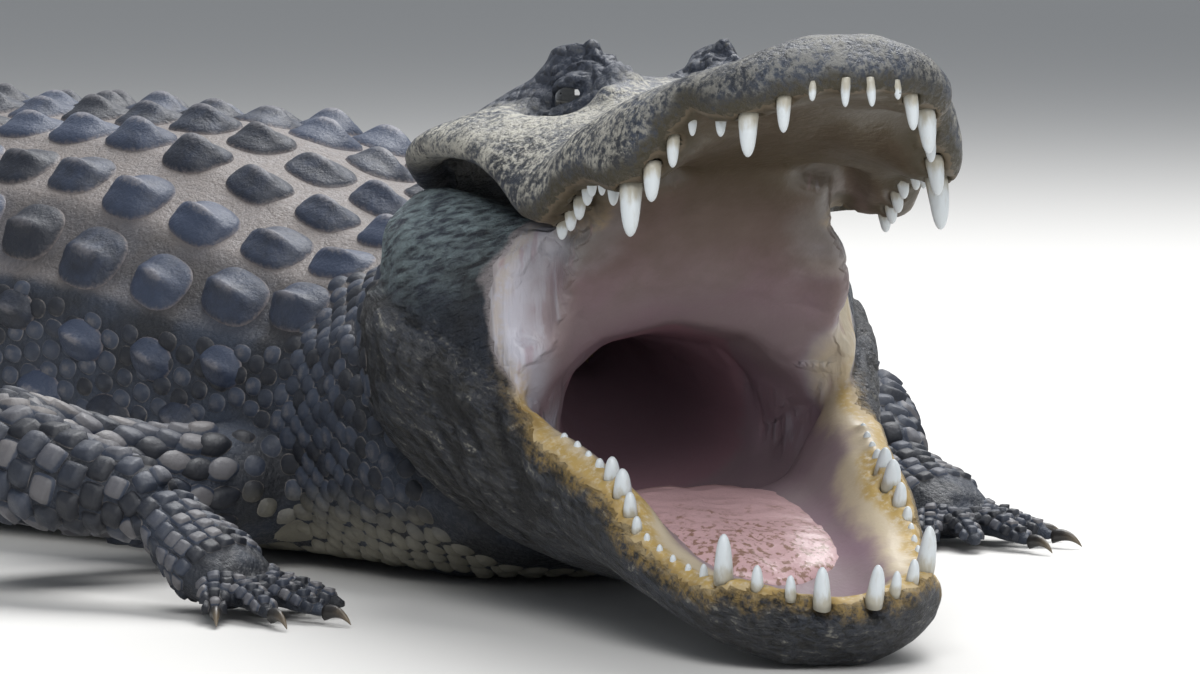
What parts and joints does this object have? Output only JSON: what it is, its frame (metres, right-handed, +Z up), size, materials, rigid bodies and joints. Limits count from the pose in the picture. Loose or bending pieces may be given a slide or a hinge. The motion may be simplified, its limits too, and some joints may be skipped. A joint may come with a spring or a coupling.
{
  "type": "american alligator model",
  "caption": "Life-size still model of an American alligator lying flat on its belly with its jaws held wide open and its tail curved to one side.",
  "frame": {"origin": "on the floor under the middle of the trunk, at the middle of the belly's resting flat", "axes": "+X forward along the trunk to the neck, +Y to the animal's left, +Z up"},
  "size_m": [3.044, 0.9708, 0.3448],
  "materials": {
    "hide": "dark blue-grey scaly hide, satin",
    "head_hide": "dusty dark grey head hide, satin",
    "mouth": "moist pink mouth lining",
    "tongue": "moist pink tongue",
    "teeth": "ivory tooth, gloss",
    "claw": "dark horn, semi-gloss",
    "eye": "dark wet eye, gloss"
  },
  "bodies": {
    "root": {"neck": "hide", "chest": "hide", "belly": "hide", "hips": "hide", "tail_root": "hide", "tail_middle": "hide", "tail_end": "hide", "tail_tip": "hide", "upper_arm_right": "hide", "forearm_right": "hide", "hand_right": "hide", "upper_arm_left": "hide", "forearm_left": "hide", "hand_left": "hide", "thigh_right": "hide", "shank_right": "hide", "foot_right": "hide", "thigh_left": "hide", "shank_left": "hide", "foot_left": "hide", "head": "head_hide", "jaw": "head_hide", "cheeks": "mouth", "tongue": "tongue", "eye_right": "eye", "eye_left": "eye"}
  },
  "joints": []
}
